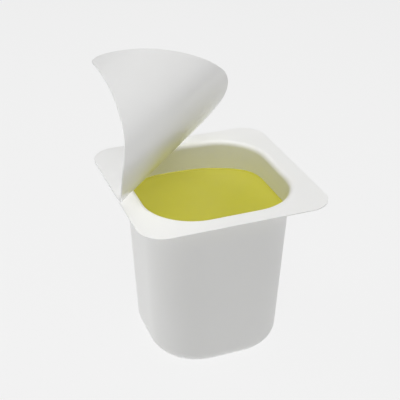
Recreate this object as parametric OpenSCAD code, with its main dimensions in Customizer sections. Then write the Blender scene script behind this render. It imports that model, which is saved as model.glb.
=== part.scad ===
// Single-serve yogurt pot: a thin cup with a square flange, the yogurt in it, and a
// peel-off lid that is still sealed at one corner and curls back over that corner.
// Sizes are in millimetres. Z is up, and the origin is the middle of the base, on the
// surface that the pot stands on. The sealed corner is at -X, +Y.

/* [Cup] */
// Height from the base to the top of the flange
pot_h = 64.7; // [45:0.1:100]
// Outside of the cup from side to side, at the level of the flange
cup_top_w = 54.3; // [44:0.1:64]
// Outside of the cup from side to side, at the base
cup_base_w = 49; // [40:0.1:62]
// Corner radius of the cup at the level of the flange
cup_top_r = 18.2; // [8:0.1:21]
// Corner radius of the cup at the base
cup_base_r = 18.3; // [8:0.1:20]
// Radius where the side turns into the base
base_round = 5.1; // [2:0.1:7]
// Thickness of the side and of the base
wall = 0.4; // [0.3:0.02:1.2]

/* [Flange] */
// Side of the square flange
flange_w = 69; // [60:0.1:90]
// Corner radius of the flange
flange_r = 9; // [4:0.1:16]
// Thickness of the flange
flange_t = 0.4; // [0.35:0.01:1.5]
// Rounding of the flange's outer edge
edge_round = 0.1; // [0.05:0.01:0.15]
// Radius of the rim, where the flange turns down into the cup
rim_round = 2; // [1.4:0.1:3]

/* [Yogurt] */
// Depth of the yogurt's surface below the flange
fill_drop = 10.4; // [4:0.1:40]
// How high the yogurt climbs at the side
climb_h = 0.4; // [0.1:0.05:1]
// How far in from the side that climb starts
climb_w = 1.4; // [0.5:0.1:4]
// Clearance between the yogurt and the cup
fill_gap = 0.05; // [0.02:0.01:0.2]

/* [Lid] */
// Thickness of the lid
lid_t = 0.3; // [0.2:0.05:0.6]
// How far the lid's edge lies inside the flange's edge
lid_margin = 0.1; // [0:0.05:1]
// Turn of the fold away from square to the diagonal, in degrees
fold_skew = 1; // [-8:0.1:8]
// Length along the diagonal that is still sealed, from the flange's corner
sealed_run = 26.2; // [16:0.01:34]
// Length of the sharp fold that lifts the lid
fold_run = 4.6; // [2:0.1:12]
// Angle of the sharp fold, in degrees
fold_turn = 45; // [10:0.1:60]
// Length of the gently bent rise over the opening
rise_run = 10.5; // [5:0.1:20]
// Angle of the rise, in degrees
rise_turn = 15.4; // [5:0.1:45]
// Length of the curl at the top of the rise
curl_run = 22.9; // [8:0.1:25]
// Angle of the curl, in degrees
curl_turn = 76.9; // [20:0.1:85]
// Radius of the last stretch, which reaches the loose corner
tip_radius = 32.5; // [22:0.1:80]

/* [Hidden] */

CORNER_STEPS = 16;   // steps around each corner of a ring
ROUND_STEPS = 5;     // steps around each small radius
LID_ROWS = 96;       // strips along the lid

fill_z = pot_h - fill_drop;
inner_round = base_round - wall;
under_round = rim_round - wall;   // under the flange, so that the rim is as thick as the side
lid_w = flange_w - 2 * lid_margin;
lid_r = flange_r - lid_margin;

// ---- Rings: rounded squares that the cup and the yogurt are skinned over ----

// A rounded square of side w and corner radius r, level at height z
function ring(w, r, z) = [
    for (corner = [0:3], i = [0:CORNER_STEPS])
        let (a = 90 * corner + 90 * i / CORNER_STEPS,
             c = w / 2 - r,
             sx = corner == 0 || corner == 3 ? 1 : -1,
             sy = corner < 2 ? 1 : -1)
        [sx * c + r * cos(a), sy * c + r * sin(a), z]
];

// The outside of the cup at height z, moved inwards by inset
function cup_ring(z, inset = 0) =
    let (k = z / pot_h,
         w = cup_base_w + (cup_top_w - cup_base_w) * k,
         r = cup_base_r + (cup_top_r - cup_base_r) * k)
    ring(w - 2 * inset, r - inset, z);

function flange_ring(z, inset = 0) = ring(flange_w - 2 * inset, flange_r - inset, z);

// Angles of a quarter turn
function quarter() = [for (i = [0:ROUND_STEPS]) 90 * i / ROUND_STEPS];

// The rounded bottom of a shell that lies inset inside the cup, from its flat upwards
function bottom_rings(z, radius, inset) = [
    for (a = quarter())
        cup_ring(z + radius * (1 - cos(a)), inset + radius * (1 - sin(a)))
];

function reversed(list) = [for (i = [len(list) - 1:-1:0]) list[i]];

// A closed solid over rings of equally many points, from the first ring to the last
module skin(rings) {
    n = len(rings[0]);
    last = len(rings) - 1;
    sides = [
        for (k = [0:last - 1], i = [0:n - 1])
            let (j = (i + 1) % n, low = k * n, high = low + n)
            each [[low + i, high + i, high + j], [low + i, high + j, low + j]]
    ];
    first_face = [for (i = [0:n - 1]) i];
    last_face = [for (i = [n - 1:-1:0]) last * n + i];
    polyhedron([for (r = rings) each r], concat([first_face], sides, [last_face]));
}

// ---- Bend: the lid's line along its diagonal, as arcs that follow one another ----

// Each stretch of the lid from the sealed corner: its length and its angle
stretches = [
    [sealed_run, 0],
    [fold_run, fold_turn],
    [rise_run, rise_turn],
    [curl_run, curl_turn],
    [tip_radius, 180 / PI]
];

// Goes on from at = [along, up, angle] by a run that turns by rate degrees a millimetre
function onward(at, run, rate) =
    let (angle = at.z + run * rate, radius = rate == 0 ? 0 : 180 / PI / rate)
    rate == 0
        ? [at.x + run * cos(angle), at.y + run * sin(angle), angle]
        : [at.x + radius * (sin(angle) - sin(at.z)),
           at.y + radius * (cos(at.z) - cos(angle)), angle];

// Where the lid is at length s from the corner: [along, up, angle]
function bend(s, k = 0, at = [0, 0, 0]) =
    let (part = stretches[k],
         ends_here = s <= part[0] || k == len(stretches) - 1,
         run = ends_here ? s : part[0],
         next = onward(at, run, part[1] / part[0]))
    ends_here ? next : bend(s - run, k + 1, next);

seal_corner = [-flange_w / 2, flange_w / 2];
along = [cos(fold_skew - 45), sin(fold_skew - 45)];
across = [-along.y, along.x];

// The flat lid's outline, each point as [length along, place across]
outline = [
    for (p = ring(lid_w, lid_r, 0))
        let (q = [p.x, p.y] - seal_corner)
        [q * along, q * across]
];
lengths = [for (p = outline) p[0]];

// The two places across where the outline crosses length s
function crossings(s) = [
    for (i = [0:len(outline) - 1])
        let (p = outline[i], q = outline[(i + 1) % len(outline)])
        if ((p[0] < s) != (q[0] < s)) p[1] + (q[1] - p[1]) * (s - p[0]) / (q[0] - p[0])
];

// A point of the bent lid, off above its sealing face
function lid_point(s, t, off) =
    let (b = bend(s),
         p = seal_corner + (b.x - off * sin(b.z)) * along + t * across)
    [p.x, p.y, pot_h + b.y + off * cos(b.z)];

// The lid's four corners across at length s
function lid_section(s) =
    let (t = crossings(s), low = min(t), high = max(t))
    [lid_point(s, low, 0), lid_point(s, high, 0),
     lid_point(s, high, lid_t), lid_point(s, low, lid_t)];

// Lengths that lie closer together towards the two corners
function lid_lengths() =
    let (middle = (max(lengths) + min(lengths)) / 2,
         half = (max(lengths) - min(lengths)) / 2)
    [for (i = [0:LID_ROWS]) middle - half * cos(180 * (i + 0.5) / (LID_ROWS + 1))];

// ---- Pieces ----

module pot() {
    under_z = pot_h - flange_t;
    outside = bottom_rings(0, base_round, 0);
    under = [
        for (a = quarter())
            cup_ring(under_z - under_round * (1 - sin(a)), -under_round * (1 - cos(a)))
    ];
    edge = [
        flange_ring(under_z, edge_round),
        flange_ring(under_z + edge_round),
        flange_ring(pot_h - edge_round),
        flange_ring(pot_h, edge_round)
    ];
    rim = [
        for (a = quarter())
            cup_ring(pot_h - rim_round * (1 - cos(a)), wall - rim_round * (1 - sin(a)))
    ];
    inside = reversed(bottom_rings(wall, inner_round, wall));
    color("whitesmoke")
        skin(concat(outside, under, edge, rim, inside));
}

module yogurt() {
    inset = wall + fill_gap;
    surface = [
        for (a = quarter())
            cup_ring(fill_z + climb_h * (1 - sin(a)), inset + climb_w * (1 - cos(a)))
    ];
    color([0.73, 0.71, 0.31])
        skin(concat(bottom_rings(inset, inner_round - fill_gap, inset), surface));
}

module lid() {
    color("gainsboro")
        skin([for (s = lid_lengths()) lid_section(s)]);
}

pot();
yogurt();
lid();
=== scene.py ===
"""A single-serve yogurt pot: a thin square cup with a flange, smooth yellow yogurt in
it, and a peel-off lid that is still sealed at one corner and curls back over the pot."""

import math

import bmesh
import bpy
from mathutils import Matrix, Vector


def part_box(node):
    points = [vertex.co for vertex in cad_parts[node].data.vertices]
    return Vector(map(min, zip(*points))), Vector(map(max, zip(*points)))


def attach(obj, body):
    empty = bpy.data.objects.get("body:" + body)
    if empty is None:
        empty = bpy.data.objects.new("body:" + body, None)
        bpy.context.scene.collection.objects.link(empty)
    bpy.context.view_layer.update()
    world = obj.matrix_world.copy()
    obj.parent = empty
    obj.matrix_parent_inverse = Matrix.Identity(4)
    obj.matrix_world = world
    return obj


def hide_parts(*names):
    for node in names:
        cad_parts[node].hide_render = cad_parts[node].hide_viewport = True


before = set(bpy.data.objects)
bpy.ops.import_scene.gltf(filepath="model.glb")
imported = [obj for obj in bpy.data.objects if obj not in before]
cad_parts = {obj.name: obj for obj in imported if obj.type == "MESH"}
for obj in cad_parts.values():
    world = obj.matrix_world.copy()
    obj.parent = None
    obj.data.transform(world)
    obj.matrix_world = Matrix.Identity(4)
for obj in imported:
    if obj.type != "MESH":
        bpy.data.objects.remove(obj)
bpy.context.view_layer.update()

# ---------------------------------------------------------------- sizes, in metres

MM = 0.001

POT_LOW, POT_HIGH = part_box("pot")
RIM_Z = POT_HIGH[2]                          # top of the flange
FLANGE_HALF = (POT_HIGH[0] - POT_LOW[0]) / 2

CUP_TOP_HALF = 27.15 * MM
CUP_BASE_HALF = 24.5 * MM
CUP_TOP_CORNER = 18.2 * MM
CUP_BASE_CORNER = 18.3 * MM
BASE_ROUND = 5.1 * MM
WALL = 0.4 * MM

FLANGE_CORNER = 9.0 * MM
FLANGE_THICK = 0.4 * MM
EDGE_ROUND = 0.1 * MM
RIM_ROUND = 2.0 * MM
UNDER_ROUND = RIM_ROUND - WALL               # the rim is as thick as the side
HOLD = 0.10 * MM                             # from a rounding to the ring that keeps a flat flat

RECESS_DEEP = 0.12 * MM                      # moulded recess inside the foot
RECESS_HALF = 18.0 * MM
RECESS_CORNER = 12.0 * MM

FILL_DROP = 10.4 * MM
CLIMB_HIGH = 0.4 * MM
CLIMB_WIDE = 1.4 * MM
CLIMB_RINGS = 8
SLUMP = 1.1 * MM                             # how far the yogurt sank at one corner
SLUMP_PLACE = (15.5 * MM, 24.7 * MM)
SLUMP_WIDE = 7.0 * MM
INTO_WALL = 0.15 * MM                        # how far the yogurt reaches into the wall

LID_THICK = 0.3 * MM
LID_MARGIN = 0.1 * MM
FOLD_SKEW = math.radians(1.0)
SEALED_RUN = 26.2 * MM
END_ROWS = 2.0                               # rows left out at each end, where they are short
FLAT_UNIT = 40 * MM                          # length that counts as one on the lid's flat map
# Name, length and angle of each arc of the bent lid, from the sealed part outwards
BENDS = (
    ("Fold", 4.6 * MM, math.radians(45.0)),
    ("Rise", 10.5 * MM, math.radians(15.4)),
    ("Curl", 22.9 * MM, math.radians(76.9)),
    ("Tip", 32.5 * MM, 1.0),
)


# ---------------------------------------------------------------- node boards

class Wire:
    """A node's output that Python's operators work on: each one adds a Math node."""

    def __init__(self, board, node, socket):
        self.board = board
        self.node = node
        self.socket = socket

    def out(self, name):
        """Another output of the same node."""
        return Wire(self.board, self.node, self.node.outputs[name])

    def math(self, operation, *others):
        return self.board.add("ShaderNodeMath", {"operation": operation}, [self, *others])

    def __add__(self, other):
        return self.math("ADD", other)

    def __sub__(self, other):
        return self.math("SUBTRACT", other)

    def __mul__(self, other):
        return self.math("MULTIPLY", other)

    def __truediv__(self, other):
        return self.math("DIVIDE", other)

    __radd__ = __add__
    __rmul__ = __mul__

    def __rsub__(self, other):
        return self.board.add("ShaderNodeMath", {"operation": "SUBTRACT"}, [other, self])

    def __rtruediv__(self, other):
        return self.board.add("ShaderNodeMath", {"operation": "DIVIDE"}, [other, self])

    def at_least(self, low):
        return self.math("MAXIMUM", low)

    def at_most(self, high):
        return self.math("MINIMUM", high)

    def floor(self):
        return self.math("FLOOR")

    def sin(self):
        return self.math("SINE")

    def cos(self):
        return self.math("COSINE")


class Board:
    """A node tree that a recipe is laid out on."""

    def __init__(self, tree):
        self.tree = tree

    def add(self, kind, settings=None, inputs=(), output=0):
        """Adds a node: its settings first, then its inputs by name or place."""
        node = self.tree.nodes.new(kind)
        for name, value in (settings or {}).items():
            if name == "stops":
                set_stops(node.color_ramp, value)
            else:
                setattr(node, name, value)
        places = inputs.items() if isinstance(inputs, dict) else enumerate(inputs)
        for place, value in places:
            self.plug(node.inputs[place], value)
        return Wire(self, node, node.outputs[output]) if len(node.outputs) else node

    def plug(self, socket, value):
        if isinstance(value, Wire):
            self.tree.links.new(value.socket, socket)
        else:
            socket.default_value = value

    def point(self, x, y, z=0.0):
        return self.add("ShaderNodeCombineXYZ", {}, [x, y, z])

    def vector(self, operation, *parts, output=0):
        return self.add("ShaderNodeVectorMath", {"operation": operation}, parts, output)

    def scaled(self, vector, factor):
        settings = {"operation": "SCALE"}
        return self.add("ShaderNodeVectorMath", settings, {"Vector": vector, "Scale": factor})


def set_stops(ramp, stops):
    """Gives a colour ramp its stops, each (position, colour)."""
    while len(ramp.elements) > 1:
        ramp.elements.remove(ramp.elements[-1])
    for number, (position, colour) in enumerate(stops):
        stop = ramp.elements[0] if number == 0 else ramp.elements.new(position)
        stop.position = position
        stop.color = (*colour, 1.0)


class ShapeBoard(Board):
    """A Geometry Nodes tree with named inputs, which makes one piece of the pot."""

    def __init__(self, name):
        super().__init__(bpy.data.node_groups.new(name, "GeometryNodeTree"))
        self.entry = self.tree.nodes.new("NodeGroupInput")
        self.input("Geometry", "NodeSocketGeometry")
        self.tree.interface.new_socket(
            "Geometry", in_out="OUTPUT", socket_type="NodeSocketGeometry"
        )

    def input(self, name, kind="NodeSocketFloat"):
        self.tree.interface.new_socket(name, in_out="INPUT", socket_type=kind)
        return Wire(self, self.entry, self.entry.outputs[name])

    def whole(self, name):
        return self.input(name, "NodeSocketInt")

    def finish(self, geometry, material):
        """The end of every tree: smooth faces, instances made real, and the material."""
        smooth = self.add("GeometryNodeSetShadeSmooth", {}, {"Geometry": geometry})
        real = self.add("GeometryNodeRealizeInstances", {}, {"Geometry": smooth})
        done = self.add("GeometryNodeSetMaterial", {}, {"Geometry": real, "Material": material})
        leaving = self.tree.nodes.new("NodeGroupOutput")
        self.tree.links.new(done.socket, leaving.inputs["Geometry"])


def run_tree(piece, tree, values):
    """Puts a tree on a piece, with the values of its named inputs."""
    modifier = piece.modifiers.new(tree.name, "NODES")
    modifier.node_group = tree
    for socket in tree.interface.items_tree:
        if socket.in_out == "INPUT" and socket.name in values:
            modifier[socket.identifier] = values[socket.name]
    return modifier


def made_plain(maker, name):
    """A piece with the mesh that the maker's modifiers give, and no modifiers."""
    graph = bpy.context.evaluated_depsgraph_get()
    graph.update()
    mesh = bpy.data.meshes.new_from_object(
        maker.evaluated_get(graph), preserve_all_data_layers=True, depsgraph=graph
    )
    mesh.name = name
    bpy.data.objects.remove(maker)
    piece = bpy.data.objects.new(name, mesh)
    bpy.context.scene.collection.objects.link(piece)
    return piece


def line_piece(name, points):
    """A line of points for a tree to work from."""
    mesh = bpy.data.meshes.new(name)
    mesh.from_pydata(points, [(i, i + 1) for i in range(len(points) - 1)], [])
    piece = bpy.data.objects.new(name, mesh)
    bpy.context.scene.collection.objects.link(piece)
    return piece


# ---------------------------------------------------------------- shapes

def skin_tree():
    """Skins a row of rounded squares. Each point of the incoming line is one of them:
    X is its half width, Y its corner radius and Z its height."""
    board = ShapeBoard("Rounded square skin")
    line = Wire(board, board.entry, board.entry.outputs["Geometry"])
    corner_steps = board.whole("Corner steps")
    side_steps = board.whole("Side steps")
    material = board.input("Material", "NodeSocketMaterial")

    rings = board.add("GeometryNodeAttributeDomainSize", {"component": "MESH"}, [line])
    quarter = corner_steps + side_steps
    around = quarter * 4 + 1
    grid = board.add(
        "GeometryNodeMeshGrid", {}, {"Vertices X": rings, "Vertices Y": around}
    )
    index = board.add("GeometryNodeInputIndex")
    ring = ((index + 0.5) / around).floor()
    place = index - ring * around
    turn = ((place + 0.5) / quarter).floor()
    step = place - turn * quarter

    sampled = board.add(
        "GeometryNodeSampleIndex",
        {"data_type": "FLOAT_VECTOR"},
        {"Geometry": line, "Value": board.add("GeometryNodeInputPosition"), "Index": ring},
    )
    size = board.add("ShaderNodeSeparateXYZ", {}, [sampled])
    radius = size.out("Y")
    straight = size - radius
    angle = (step / corner_steps).at_most(1.0) * (math.pi / 2)
    passed = (step - corner_steps).at_least(0.0) / side_steps
    x = straight + radius * angle.cos() - straight * passed * 2.0
    y = straight + radius * angle.sin()
    spun = board.add(
        "ShaderNodeVectorRotate",
        {"rotation_type": "Z_AXIS"},
        {"Vector": board.point(x, y, size.out("Z")), "Angle": turn * (math.pi / 2)},
    )
    placed = board.add("GeometryNodeSetPosition", {}, {"Geometry": grid, "Position": spun})
    closed = board.add(
        "GeometryNodeMergeByDistance", {}, {"Geometry": placed, "Distance": 0.001 * MM}
    )
    outwards = board.add("GeometryNodeFlipFaces", {}, [closed])
    board.finish(outwards, material)
    return board.tree


def curl_tree():
    """A square sheet with round corners, bent along one direction by arcs that follow
    one another. Its rows are straight lines across the bend."""
    board = ShapeBoard("Curled sheet")
    rows = board.whole("Rows")
    columns = board.whole("Columns")
    side = board.input("Side")
    corner = board.input("Corner radius")
    reach = board.input("Flange half")
    level = board.input("Level")
    skew = board.input("Fold skew")
    sealed = board.input("Sealed run")
    bends = [(board.input(name + " run"), board.input(name + " angle")) for name, _, _ in BENDS]
    material = board.input("Material", "NodeSocketMaterial")

    # Directions along the bend and across it, from the sealed corner
    heading = skew - math.pi / 4
    along = board.point(heading.cos(), heading.sin())
    across = board.point(0.0 - heading.sin(), heading.cos())
    sealed_corner = board.point(0.0 - reach, reach)

    grid = board.add("GeometryNodeMeshGrid", {}, {"Vertices X": rows, "Vertices Y": columns})
    index = board.add("GeometryNodeInputIndex")
    row = ((index + 0.5) / columns).floor()
    column = (index - row * columns) / (columns - 1.0)

    # Length along the bend: rows lie closer together towards the two ends
    spread = (heading.cos() - heading.sin()) * (side / 2 - corner) + corner
    middle = (heading.cos() - heading.sin()) * reach
    length = middle - spread * ((row + END_ROWS) / (rows + (2 * END_ROWS - 1)) * math.pi).cos()

    # Where a row starts and ends: rays from both sides on to the sheet's outline
    outline = board.add("GeometryNodeCurvePrimitiveQuadrilateral", {}, [side, side])
    rounded = board.add(
        "GeometryNodeFilletCurve", {"mode": "POLY"},
        {"Curve": outline, "Count": 32, "Radius": corner},
    )
    post = board.add(
        "GeometryNodeCurvePrimitiveLine", {}, {"Start": (0, -MM, 0), "End": (0, MM, 0)}
    )
    fence = board.add("GeometryNodeCurveToMesh", {}, {"Curve": rounded, "Profile Curve": post})
    on_line = board.vector("ADD", sealed_corner, board.scaled(along, length))
    ends = []
    for way in (-1.0, 1.0):
        start = board.vector("ADD", on_line, board.scaled(across, reach * (4 * way)))
        hit = board.add(
            "GeometryNodeRaycast", {},
            {
                "Target Geometry": fence,
                "Source Position": start,
                "Ray Direction": board.scaled(across, -way),
                "Ray Length": 1.0,
            },
        ).out("Hit Position")
        from_line = board.vector("SUBTRACT", hit, on_line)
        ends.append(board.vector("DOT_PRODUCT", from_line, across, output="Value"))
    sideways = ends[0] + (ends[1] - ends[0]) * column

    # The bend: each arc adds its own stretch, all of it once the row is past its end
    forward = length.at_most(sealed)
    upward = None
    start = sealed
    before = None
    for run, angle in bends:
        is_last = run is bends[-1][0]
        used = (length - start).at_least(0.0)
        if not is_last:
            used = used.at_most(run)
        radius = run / angle
        first = before if before is not None else angle * 0.0
        last = first + used / radius
        forward = forward + radius * (last.sin() - first.sin())
        rise = radius * (first.cos() - last.cos())
        upward = rise if upward is None else upward + rise
        start = start + run
        before = first + angle

    flat = board.vector("ADD", on_line, board.scaled(across, sideways))
    named = board.add(
        "GeometryNodeStoreNamedAttribute",
        {"data_type": "FLOAT2", "domain": "CORNER"},
        {"Geometry": grid, "Name": "Flat", "Value": board.scaled(flat, 1 / FLAT_UNIT)},
    )
    bent = board.vector("ADD", sealed_corner, board.scaled(along, forward))
    bent = board.vector("ADD", bent, board.scaled(across, sideways))
    bent = board.vector("ADD", bent, board.point(0.0, 0.0, level + upward))
    placed = board.add("GeometryNodeSetPosition", {}, {"Geometry": named, "Position": bent})
    board.finish(placed, material)
    return board.tree


def ring(z, inset=0.0):
    """The cup's outline at height z, moved inwards: half width, corner radius, height."""
    share = z / RIM_Z
    half = CUP_BASE_HALF + (CUP_TOP_HALF - CUP_BASE_HALF) * share
    corner = CUP_BASE_CORNER + (CUP_TOP_CORNER - CUP_BASE_CORNER) * share
    return (half - inset, corner - inset, z)


def flange_ring(z, inset=0.0):
    return (FLANGE_HALF - inset, FLANGE_CORNER - inset, z)


def quarter_turn(steps):
    return [math.pi / 2 * i / steps for i in range(steps + 1)]


def between(first, last, steps):
    """Rings evenly between two rings, without the two."""
    return [
        tuple(a + (b - a) * i / steps for a, b in zip(first, last)) for i in range(1, steps)
    ]


def rounded_bottom(z, radius, inset, steps=10):
    """The rings from a shell's flat bottom up to its side."""
    return [
        ring(z + radius * (1 - math.cos(a)), inset + radius * (1 - math.sin(a)))
        for a in quarter_turn(steps)
    ]


def pot_line():
    """The cup from the middle of its base, up its outside and down its inside."""
    under_z = RIM_Z - FLANGE_THICK
    foot = rounded_bottom(0.0, BASE_ROUND, 0.0)
    recess = [
        (RECESS_HALF + dx, RECESS_CORNER + dx, RECESS_DEEP * up)
        for dx, up in ((0.0, 1.0), (0.3 * MM, 0.9), (0.7 * MM, 0.1), (1.0 * MM, 0.0))
    ]
    recess_middle = [(w, w, RECESS_DEEP) for w in (0.0, 2 * MM, 6 * MM, 10 * MM)]
    under = [
        ring(under_z - UNDER_ROUND * (1 - math.sin(a)), -UNDER_ROUND * (1 - math.cos(a)))
        for a in quarter_turn(6)
    ]
    edge = [
        flange_ring(under_z + EDGE_ROUND * (1 - math.cos(a)), EDGE_ROUND * (1 - math.sin(a)))
        for a in quarter_turn(4)
    ]
    edge += [
        flange_ring(RIM_Z - EDGE_ROUND * (1 - math.sin(a)), EDGE_ROUND * (1 - math.cos(a)))
        for a in quarter_turn(4)
    ]
    rim = [
        ring(RIM_Z - RIM_ROUND * (1 - math.cos(a)), WALL - RIM_ROUND * (1 - math.sin(a)))
        for a in quarter_turn(10)
    ]
    inside = rounded_bottom(WALL, BASE_ROUND - WALL, WALL)[::-1]
    floor_middle = [(w, w, WALL) for w in (12 * MM, 0.0)]
    rim_hold = ring(RIM_Z, WALL - RIM_ROUND - HOLD)
    edge_holds = [flange_ring(z, EDGE_ROUND + HOLD) for z in (under_z, RIM_Z)]
    return [
        *recess_middle, *recess,
        *foot, *between(foot[-1], under[0], 12),
        *under, edge_holds[0], *edge, edge_holds[1],
        *between(edge_holds[1], rim_hold, 6), rim_hold,
        *rim, *between(rim[-1], inside[0], 12), *inside, *floor_middle,
    ]


def yogurt_line():
    """The yogurt from the middle of its bottom, up inside the wall and over its top."""
    inset = WALL - INTO_WALL
    surface_z = RIM_Z - FILL_DROP
    bottom = rounded_bottom(inset, BASE_ROUND - inset, inset)
    climb = [
        ring(
            surface_z + CLIMB_HIGH * (1 - i / CLIMB_RINGS) ** 2,
            inset + CLIMB_WIDE * i / CLIMB_RINGS,
        )
        for i in range(CLIMB_RINGS + 1)
    ]
    middle = (0.0, 0.0, surface_z)
    return [
        (0.0, 0.0, inset), *bottom, *between(bottom[-1], climb[0], 12),
        *climb, *between(climb[-1], middle, 28), middle,
    ]


def settle_tree():
    """Lifts and lowers a level surface a little, as set yogurt has it."""
    board = ShapeBoard("Settled surface")
    geometry = Wire(board, board.entry, board.entry.outputs["Geometry"])
    level = board.input("Level")
    height = board.input("Height")
    fade = board.input("Fade width")
    half = board.input("Half width")
    scale = board.input("Scale")
    seed = board.input("Seed")
    slump = board.input("Slump")
    slump_x = board.input("Slump X")
    slump_y = board.input("Slump Y")
    slump_wide = board.input("Slump width")
    material = board.input("Material", "NodeSocketMaterial")
    position = board.add("GeometryNodeInputPosition")
    parts = board.add("ShaderNodeSeparateXYZ", {}, [position])
    waves = board.add(
        "ShaderNodeTexNoise", {"noise_dimensions": "4D"},
        {"Vector": position, "W": seed, "Scale": scale, "Detail": 2.0, "Roughness": 0.45},
    )
    from_side = half - parts.math("ABSOLUTE").at_least(parts.out("Y").math("ABSOLUTE"))
    inner = (from_side / fade).at_least(0.0).at_most(1.0)
    on_top = parts.out("Z").math("GREATER_THAN", level - 0.05 * MM)
    away = board.vector("DISTANCE", board.point(parts, parts.out("Y")),
                        board.point(slump_x, slump_y), output="Value") / slump_wide
    sunk = (away * away * -0.5).math("EXPONENT") * slump
    lift = ((waves - 0.5) * height * inner - sunk) * on_top
    moved = board.add(
        "GeometryNodeSetPosition", {},
        {"Geometry": geometry, "Offset": board.point(0.0, 0.0, lift)},
    )
    board.finish(moved, material)
    return board.tree


# ---------------------------------------------------------------- finishes

def new_finish(name):
    """A material's board and its shader node, which each finish fills in."""
    material = bpy.data.materials.new(name)
    material.use_nodes = True
    board = Board(material.node_tree)
    shader = material.node_tree.nodes["Principled BSDF"]
    return material, board, shader


def noise(board, coords, scale, detail=2.0, roughness=0.5):
    return board.add(
        "ShaderNodeTexNoise", {},
        {"Vector": coords, "Scale": scale, "Detail": detail, "Roughness": roughness},
    )


def tinted(board, factor, first, last):
    """A colour between two colours."""
    stops = [(0.0, first), (1.0, last)]
    return board.add("ShaderNodeValToRGB", {"stops": stops}, [factor])


def bumped(board, height, strength, distance):
    inputs = {"Strength": strength, "Distance": distance, "Height": height}
    return board.add("ShaderNodeBump", {}, inputs)


def see_through(shader, weight, radius, depth):
    """Lets light into a surface, and through it where the piece is thin."""
    shader.inputs["Subsurface Weight"].default_value = weight
    shader.inputs["Subsurface Radius"].default_value = radius
    shader.inputs["Subsurface Scale"].default_value = depth


def white_plastic():
    """Thermoformed white plastic with a satin gloss, drawn faintly upwards."""
    material, board, shader = new_finish("white_plastic")
    coords = board.add("ShaderNodeTexCoord").out("Object")
    drawn = board.add("ShaderNodeMapping", {}, {"Vector": coords, "Scale": (1.0, 1.0, 0.08)})
    cloudy = noise(board, coords, 45.0, 3.0)
    streaks = noise(board, drawn, 420.0, 2.0)
    orange_peel = noise(board, coords, 900.0, 2.0)
    board.plug(
        shader.inputs["Base Color"],
        tinted(board, cloudy, (0.845, 0.845, 0.832), (0.870, 0.870, 0.858)),
    )
    board.plug(shader.inputs["Roughness"], 0.36 + (streaks - 0.5) * 0.10)
    board.plug(
        shader.inputs["Normal"],
        bumped(board, orange_peel * 0.6 + streaks * 0.4, 0.12, 0.05 * MM),
    )
    shader.inputs["IOR"].default_value = 1.45
    see_through(shader, 0.25, (1.0, 1.0, 0.95), 0.8 * MM)
    return material


def set_yogurt():
    """Smooth yellow yogurt with a moist, soft gloss."""
    material, board, shader = new_finish("set_yogurt")
    coords = board.add("ShaderNodeTexCoord").out("Object")
    soft = noise(board, coords, 60.0, 3.0)
    fine = noise(board, coords, 900.0, 3.0)
    board.plug(
        shader.inputs["Base Color"],
        tinted(board, soft, (0.485, 0.460, 0.050), (0.513, 0.488, 0.062)),
    )
    board.plug(shader.inputs["Roughness"], 0.34 + (soft - 0.5) * 0.12)
    board.plug(
        shader.inputs["Normal"],
        bumped(board, fine * 0.5 + soft * 0.5, 0.15, 0.08 * MM),
    )
    shader.inputs["Specular IOR Level"].default_value = 0.3
    see_through(shader, 0.6, (1.0, 0.9, 0.3), 2.5 * MM)
    return material


def lid_laminate():
    """White coated lidding with a fine pin emboss, under a thin gloss coat."""
    material, board, shader = new_finish("lid_laminate")
    flat = board.add("ShaderNodeUVMap", {"uv_map": "Flat"})
    object_coords = board.add("ShaderNodeTexCoord").out("Object")
    cloudy = noise(board, object_coords, 50.0, 3.0)
    pins = board.add(
        "ShaderNodeTexVoronoi", {"feature": "F1"},
        {"Vector": flat, "Scale": 50.0, "Randomness": 0.0},
    )
    board.plug(
        shader.inputs["Base Color"],
        tinted(board, cloudy, (0.800, 0.800, 0.792), (0.835, 0.835, 0.828)),
    )
    board.plug(shader.inputs["Roughness"], 0.42 + (cloudy - 0.5) * 0.10)
    board.plug(shader.inputs["Normal"], bumped(board, pins, 0.10, 0.04 * MM))
    shader.inputs["Coat Weight"].default_value = 0.5
    shader.inputs["Coat Roughness"].default_value = 0.08
    see_through(shader, 0.25, (1.0, 1.0, 0.95), 0.8 * MM)
    return material


def pale_floor():
    """A seamless studio floor, lit evenly from within so that it stays pale."""
    material, board, shader = new_finish("pale_floor")
    shader.inputs["Base Color"].default_value = (*[FLOOR_SHADE] * 3, 1.0)
    shader.inputs["Roughness"].default_value = 0.9
    shader.inputs["Specular IOR Level"].default_value = 0.0
    shader.inputs["Emission Color"].default_value = (1.0, 1.0, 1.0, 1.0)
    shader.inputs["Emission Strength"].default_value = FLOOR_GLOW
    return material


# ---------------------------------------------------------------- pieces

def keep_sharp(piece, over=math.radians(50)):
    """Marks the edges where two faces meet at more than an angle as sharp."""
    mesh = bmesh.new()
    mesh.from_mesh(piece.data)
    for edge in mesh.edges:
        if len(edge.link_faces) == 2 and edge.calc_face_angle() > over:
            edge.smooth = False
    mesh.to_mesh(piece.data)
    mesh.free()


def make_pot(skin):
    maker = line_piece("pot_line", pot_line())
    run_tree(maker, skin, {
        "Corner steps": 32, "Side steps": 10, "Material": white_plastic(),
    })
    return made_plain(maker, "pot_shell")


def make_yogurt(skin):
    finish = set_yogurt()
    maker = line_piece("yogurt_line", yogurt_line())
    run_tree(maker, skin, {"Corner steps": 24, "Side steps": 12, "Material": finish})
    run_tree(maker, settle_tree(), {
        "Level": RIM_Z - FILL_DROP,
        "Height": 0.5 * MM,
        "Fade width": 6.0 * MM,
        "Half width": CUP_TOP_HALF - WALL,
        "Scale": 55.0,
        "Seed": 4.0,
        "Slump": SLUMP,
        "Slump X": SLUMP_PLACE[0],
        "Slump Y": SLUMP_PLACE[1],
        "Slump width": SLUMP_WIDE,
        "Material": finish,
    })
    return made_plain(maker, "yogurt_fill")


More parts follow.
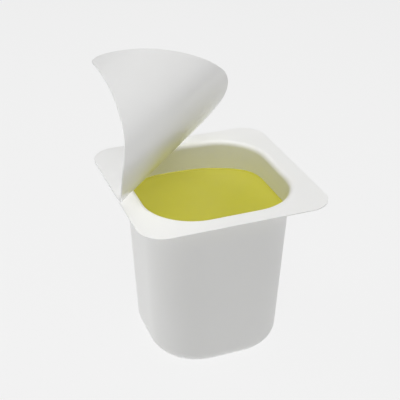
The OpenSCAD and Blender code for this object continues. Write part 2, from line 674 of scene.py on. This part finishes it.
def make_lid():
    values = {
        "Rows": 260, "Columns": 60,
        "Side": 2 * (FLANGE_HALF - LID_MARGIN),
        "Corner radius": FLANGE_CORNER - LID_MARGIN,
        "Flange half": FLANGE_HALF,
        "Level": RIM_Z,
        "Fold skew": FOLD_SKEW,
        "Sealed run": SEALED_RUN,
        "Material": lid_laminate(),
    }
    for name, run, angle in BENDS:
        values[name + " run"] = run
        values[name + " angle"] = angle
    maker = line_piece("lid_line", [(0, 0, 0), (0, 0, 1)])
    run_tree(maker, curl_tree(), values)
    thick = maker.modifiers.new("thickness", "SOLIDIFY")
    thick.thickness = LID_THICK
    thick.offset = 1.0
    thick.use_even_offset = True
    piece = made_plain(maker, "lid_sheet")
    keep_sharp(piece)
    return piece


# ---------------------------------------------------------------- studio

FLOOR_HALF = 4.0
FLOOR_GLOW = 0.79                            # what the floor gives off
FLOOR_SHADE = 0.10                           # what it reflects, so shadows stay faint
ROOM_LIGHT = 0.07                            # what the walls give off
ROOM_SEEN = 0.88                             # how pale the walls look
STUDIO_MIDDLE = (0.0, 0.0, 0.05)
# Name, place, width and power of each softbox, and whether it casts a shadow. All of
# them are turned towards the middle.
SOFTBOXES = (
    ("top_fill", (0.0, 0.0, 0.9), 0.8, 5.70, False),
    ("top_softbox", (0.0, 0.0, 0.93), 0.83, 1.05, True),
    ("front_softbox", (0.0, -0.4, 0.8), 0.6, 1.28, True),
    ("left_softbox", (-0.72, 0.38, 0.12), 0.5, 2.30, True),
)
CAMERA_AZIMUTH = math.radians(-20.90)
CAMERA_ELEVATION = math.radians(29.66)
CAMERA_ROLL = math.radians(0.14)
CAMERA_DISTANCE = 323.1 * MM
CAMERA_LENS = 80.85
AIM_RIGHT = -2.35 * MM
AIM_UP = -8.17 * MM


def add_camera():
    """The camera looks down on the pot from its front left."""
    a, e = CAMERA_AZIMUTH, CAMERA_ELEVATION
    back = Vector((math.sin(a) * math.cos(e), -math.cos(a) * math.cos(e), math.sin(e)))
    level = Vector((math.cos(a), math.sin(a), 0.0))
    upright = back.cross(level)
    c, s = math.cos(CAMERA_ROLL), math.sin(CAMERA_ROLL)
    right = level * c + upright * s
    up = upright * c - level * s
    place = Vector((0, 0, RIM_Z)) + right * AIM_RIGHT + up * AIM_UP + back * CAMERA_DISTANCE
    camera = bpy.data.objects.new("camera", bpy.data.cameras.new("camera"))
    camera.data.lens = CAMERA_LENS
    camera.data.clip_start = 0.01
    turn = Matrix((right, up, back)).transposed().to_4x4()
    camera.matrix_world = Matrix.Translation(place) @ turn
    bpy.context.scene.collection.objects.link(camera)
    bpy.context.scene.camera = camera


def add_softbox(name, place, size, power, casts_shadow):
    light = bpy.data.lights.new(name, "AREA")
    light.shape = "SQUARE"
    light.size = size
    light.energy = power
    light.use_shadow = casts_shadow
    lamp = bpy.data.objects.new(name, light)
    lamp.location = place
    lamp.visible_camera = False
    lamp.rotation_euler = (Vector(STUDIO_MIDDLE) - Vector(place)).to_track_quat("-Z", "Y").to_euler()
    bpy.context.scene.collection.objects.link(lamp)


def add_floor():
    mesh = bpy.data.meshes.new("floor")
    r = FLOOR_HALF
    mesh.from_pydata([(-r, -r, 0), (r, -r, 0), (r, r, 0), (-r, r, 0)], [], [(0, 1, 2, 3)])
    mesh.materials.append(pale_floor())
    floor = bpy.data.objects.new("floor", mesh)
    bpy.context.scene.collection.objects.link(floor)


def add_room():
    """Even light from the room. The walls look as pale as the floor."""
    world = bpy.data.worlds.new("room")
    world.use_nodes = True
    board = Board(world.node_tree)
    seen = board.add("ShaderNodeLightPath").out("Is Camera Ray")
    background = world.node_tree.nodes["Background"]
    background.inputs["Color"].default_value = (1.0, 1.0, 1.0, 1.0)
    board.plug(background.inputs["Strength"], ROOM_LIGHT + seen * (ROOM_SEEN - ROOM_LIGHT))
    bpy.context.scene.world = world


def add_studio():
    """Room, softboxes and floor, shown without a film look."""
    bpy.context.scene.view_settings.view_transform = "Standard"
    add_room()
    for softbox in SOFTBOXES:
        add_softbox(*softbox)
    add_floor()


# ---------------------------------------------------------------- making it

add_camera()
skin = skin_tree()
pieces = {"pot": make_pot(skin), "yogurt": make_yogurt(skin), "lid": make_lid()}
for node, piece in pieces.items():
    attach(piece, "root")
    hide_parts(node)
add_studio()
